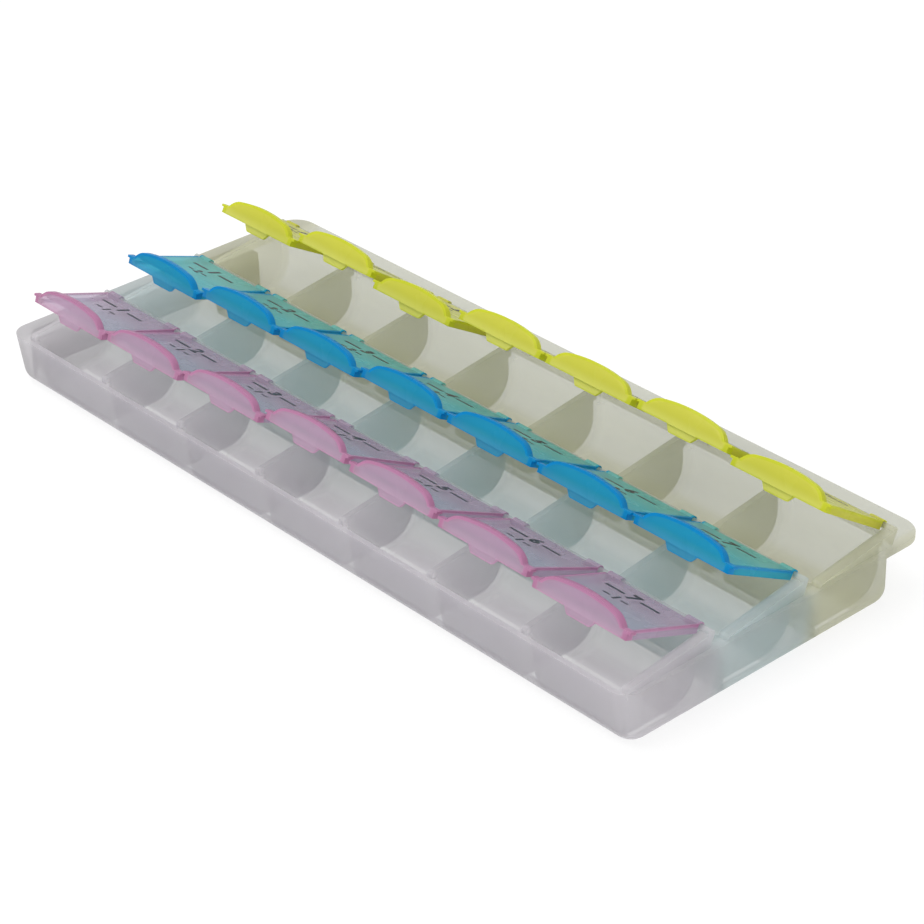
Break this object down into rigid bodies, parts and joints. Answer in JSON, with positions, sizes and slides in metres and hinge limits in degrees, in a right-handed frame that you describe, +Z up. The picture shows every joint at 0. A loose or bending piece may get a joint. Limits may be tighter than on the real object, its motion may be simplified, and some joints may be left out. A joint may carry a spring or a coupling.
{
  "type": "weekly pill organizer",
  "caption": "Translucent pill tray with rows of scooped cells, each closed by its own clip-on hinged lid with an arched front wall and a finger tab.",
  "frame": {"origin": "centre of the grid of cells, on the flat underside the tray rests on", "axes": "+X runs along the rows from the wide end of the rim to the narrow end, +Y from the front to the flange at the back, +Z up; the lids hinge about lines along X"},
  "size_m": [0.2207, 0.0934, 0.0365],
  "materials": {
    "clear_tray": "translucent satin",
    "pink_lid": "tinted translucent gloss",
    "blue_lid": "tinted translucent gloss",
    "yellow_lid": "tinted translucent gloss"
  },
  "bodies": {
    "tray": {"tray": "clear_tray"},
    "pink_lid_1": {"pink_lid_1": "pink_lid"},
    "pink_lid_2": {"pink_lid_2": "pink_lid"},
    "pink_lid_3": {"pink_lid_3": "pink_lid"},
    "pink_lid_4": {"pink_lid_4": "pink_lid"},
    "pink_lid_5": {"pink_lid_5": "pink_lid"},
    "pink_lid_6": {"pink_lid_6": "pink_lid"},
    "pink_lid_7": {"pink_lid_7": "pink_lid"},
    "blue_lid_1": {"blue_lid_1": "blue_lid"},
    "blue_lid_2": {"blue_lid_2": "blue_lid"},
    "blue_lid_3": {"blue_lid_3": "blue_lid"},
    "blue_lid_4": {"blue_lid_4": "blue_lid"},
    "blue_lid_5": {"blue_lid_5": "blue_lid"},
    "blue_lid_6": {"blue_lid_6": "blue_lid"},
    "blue_lid_7": {"blue_lid_7": "blue_lid"},
    "yellow_lid_1": {"yellow_lid_1": "yellow_lid"},
    "yellow_lid_2": {"yellow_lid_2": "yellow_lid"},
    "yellow_lid_3": {"yellow_lid_3": "yellow_lid"},
    "yellow_lid_4": {"yellow_lid_4": "yellow_lid"},
    "yellow_lid_5": {"yellow_lid_5": "yellow_lid"},
    "yellow_lid_6": {"yellow_lid_6": "yellow_lid"},
    "yellow_lid_7": {"yellow_lid_7": "yellow_lid"}
  },
  "joints": [
    {"name": "pink_lid_1_hinge", "type": "hinge", "parent": "tray", "child": "pink_lid_1", "pos_m": [-0.09, -0.0164, 0.0186], "axis": [-1, 0, 0], "range_deg": [-27.1, 85.5]},
    {"name": "pink_lid_2_hinge", "type": "hinge", "parent": "tray", "child": "pink_lid_2", "pos_m": [-0.06, -0.0164, 0.0186], "axis": [-1, 0, 0], "range_deg": [-29.1, 83.5]},
    {"name": "pink_lid_3_hinge", "type": "hinge", "parent": "tray", "child": "pink_lid_3", "pos_m": [-0.03, -0.0164, 0.0186], "axis": [-1, 0, 0], "range_deg": [-31.6, 81]},
    {"name": "pink_lid_4_hinge", "type": "hinge", "parent": "tray", "child": "pink_lid_4", "pos_m": [0, -0.0164, 0.0186], "axis": [-1, 0, 0], "range_deg": [-36.1, 76.5]},
    {"name": "pink_lid_5_hinge", "type": "hinge", "parent": "tray", "child": "pink_lid_5", "pos_m": [0.03, -0.0164, 0.0186], "axis": [-1, 0, 0], "range_deg": [-34.1, 78.5]},
    {"name": "pink_lid_6_hinge", "type": "hinge", "parent": "tray", "child": "pink_lid_6", "pos_m": [0.06, -0.0164, 0.0186], "axis": [-1, 0, 0], "range_deg": [-32.1, 80.5]},
    {"name": "pink_lid_7_hinge", "type": "hinge", "parent": "tray", "child": "pink_lid_7", "pos_m": [0.09, -0.0164, 0.0186], "axis": [-1, 0, 0], "range_deg": [-29.1, 83.5]},
    {"name": "blue_lid_1_hinge", "type": "hinge", "parent": "tray", "child": "blue_lid_1", "pos_m": [-0.09, 0.0122, 0.0186], "axis": [-1, 0, 0], "range_deg": [-28.1, 84.5]},
    {"name": "blue_lid_2_hinge", "type": "hinge", "parent": "tray", "child": "blue_lid_2", "pos_m": [-0.06, 0.0122, 0.0186], "axis": [-1, 0, 0], "range_deg": [-32.1, 80.5]},
    {"name": "blue_lid_3_hinge", "type": "hinge", "parent": "tray", "child": "blue_lid_3", "pos_m": [-0.03, 0.0122, 0.0186], "axis": [-1, 0, 0], "range_deg": [-33.1, 79.5]},
    {"name": "blue_lid_4_hinge", "type": "hinge", "parent": "tray", "child": "blue_lid_4", "pos_m": [0, 0.0122, 0.0186], "axis": [-1, 0, 0], "range_deg": [-35.6, 77]},
    {"name": "blue_lid_5_hinge", "type": "hinge", "parent": "tray", "child": "blue_lid_5", "pos_m": [0.03, 0.0122, 0.0186], "axis": [-1, 0, 0], "range_deg": [-36.1, 76.5]},
    {"name": "blue_lid_6_hinge", "type": "hinge", "parent": "tray", "child": "blue_lid_6", "pos_m": [0.06, 0.0122, 0.0186], "axis": [-1, 0, 0], "range_deg": [-35.6, 77]},
    {"name": "blue_lid_7_hinge", "type": "hinge", "parent": "tray", "child": "blue_lid_7", "pos_m": [0.09, 0.0122, 0.0186], "axis": [-1, 0, 0], "range_deg": [-36.1, 76.5]},
    {"name": "yellow_lid_1_hinge", "type": "hinge", "parent": "tray", "child": "yellow_lid_1", "pos_m": [-0.09, 0.0408, 0.0186], "axis": [-1, 0, 0], "range_deg": [-38.6, 74]},
    {"name": "yellow_lid_2_hinge", "type": "hinge", "parent": "tray", "child": "yellow_lid_2", "pos_m": [-0.06, 0.0408, 0.0186], "axis": [-1, 0, 0], "range_deg": [-44.1, 68.5]},
    {"name": "yellow_lid_3_hinge", "type": "hinge", "parent": "tray", "child": "yellow_lid_3", "pos_m": [-0.03, 0.0408, 0.0186], "axis": [-1, 0, 0], "range_deg": [-39.1, 73.5]},
    {"name": "yellow_lid_4_hinge", "type": "hinge", "parent": "tray", "child": "yellow_lid_4", "pos_m": [0, 0.0408, 0.0186], "axis": [-1, 0, 0], "range_deg": [-46.1, 66.5]},
    {"name": "yellow_lid_5_hinge", "type": "hinge", "parent": "tray", "child": "yellow_lid_5", "pos_m": [0.03, 0.0408, 0.0186], "axis": [-1, 0, 0], "range_deg": [-46.1, 66.5]},
    {"name": "yellow_lid_6_hinge", "type": "hinge", "parent": "tray", "child": "yellow_lid_6", "pos_m": [0.06, 0.0408, 0.0186], "axis": [-1, 0, 0], "range_deg": [-46.6, 66]},
    {"name": "yellow_lid_7_hinge", "type": "hinge", "parent": "tray", "child": "yellow_lid_7", "pos_m": [0.09, 0.0408, 0.0186], "axis": [-1, 0, 0], "range_deg": [-42.1, 70.5]}
  ]
}
